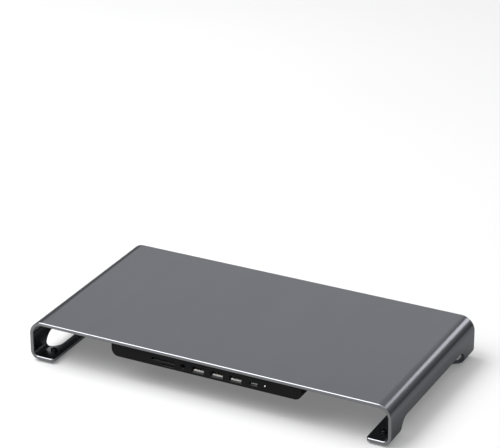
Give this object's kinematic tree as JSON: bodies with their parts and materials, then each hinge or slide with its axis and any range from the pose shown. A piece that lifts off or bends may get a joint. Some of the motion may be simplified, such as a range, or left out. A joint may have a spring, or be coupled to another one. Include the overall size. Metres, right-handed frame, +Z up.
{
  "type": "monitor riser stand",
  "caption": "Low bent-metal monitor riser on rubber feet, with a docking hub screwed under its deck and its ports along the front edge.",
  "frame": {"origin": "on the table under the middle of the stand: the centre of the bounding box's underside", "axes": "+X along the long side to the right as seen from the front, +Y to the back, +Z up; the ports face -Y"},
  "size_m": [0.4, 0.208, 0.045],
  "materials": {
    "anodised_aluminium": "dark grey, bead blasted and anodised, with bright-cut edges",
    "hub_plastic": "black, finely textured",
    "foot_rubber": "matte black",
    "zinc_steel": "zinc plated",
    "black_steel": "black oxide",
    "brass": "turned",
    "port_shell": "nickel plated",
    "tongue_plastic": "white",
    "circuit_board": "green solder mask",
    "chip_epoxy": "black epoxy",
    "thermal_pad": "soft grey",
    "light_pipe": "clear"
  },
  "bodies": {
    "stand": {"riser_frame": "anodised_aluminium", "foot_pad_front_left": "foot_rubber", "foot_insert_front_left": "brass", "foot_screw_front_left": "black_steel", "deck_stud_front_left": "zinc_steel", "dock_screw_front_left": "zinc_steel", "pcb_screw_front_left": "zinc_steel", "foot_pad_front_right": "foot_rubber", "foot_insert_front_right": "brass", "foot_screw_front_right": "black_steel", "deck_stud_front_right": "zinc_steel", "dock_screw_front_right": "zinc_steel", "pcb_screw_front_right": "zinc_steel", "foot_pad_rear_left": "foot_rubber", "foot_insert_rear_left": "brass", "foot_screw_rear_left": "black_steel", "deck_stud_rear_left": "zinc_steel", "dock_screw_rear_left": "zinc_steel", "pcb_screw_rear_left": "zinc_steel", "foot_pad_rear_right": "foot_rubber", "foot_insert_rear_right": "brass", "foot_screw_rear_right": "black_steel", "deck_stud_rear_right": "zinc_steel", "dock_screw_rear_right": "zinc_steel", "pcb_screw_rear_right": "zinc_steel", "dock_housing": "hub_plastic", "audio_jack": "hub_plastic", "dock_cover": "zinc_steel", "main_pcb": "circuit_board", "card_board": "circuit_board", "hub_chip": "chip_epoxy", "video_chip": "chip_epoxy", "power_inductor": "chip_epoxy", "board_connector": "chip_epoxy", "hub_thermal_pad": "thermal_pad", "video_thermal_pad": "thermal_pad", "usb_a_port_1": "port_shell", "usb_a_port_2": "port_shell", "usb_a_port_3": "port_shell", "usb_c_port": "port_shell", "host_usb_c_port": "port_shell", "power_usb_c_port": "port_shell", "hdmi_port_1": "port_shell", "hdmi_port_2": "port_shell", "sd_socket": "port_shell", "microsd_socket": "port_shell", "usb_a_tongue_1": "tongue_plastic", "usb_a_tongue_2": "tongue_plastic", "usb_a_tongue_3": "tongue_plastic", "usb_c_tongue": "tongue_plastic", "host_usb_c_tongue": "tongue_plastic", "power_usb_c_tongue": "tongue_plastic", "hdmi_tongue_1": "tongue_plastic", "hdmi_tongue_2": "tongue_plastic", "status_led": "tongue_plastic", "light_pipe": "light_pipe"},
    "sd_ejector": {"sd_eject_slider": "tongue_plastic"},
    "microsd_ejector": {"microsd_eject_slider": "tongue_plastic"}
  },
  "joints": [
    {"name": "sd_eject_slide", "type": "slide", "parent": "stand", "child": "sd_ejector", "axis": [0, 1, 0], "range_m": [0, 0.0045], "stiffness_N_per_m": 120, "springref_m": -0.001},
    {"name": "microsd_eject_slide", "type": "slide", "parent": "stand", "child": "microsd_ejector", "axis": [0, 1, 0], "range_m": [0, 0.0025], "stiffness_N_per_m": 120, "springref_m": -0.001}
  ]
}
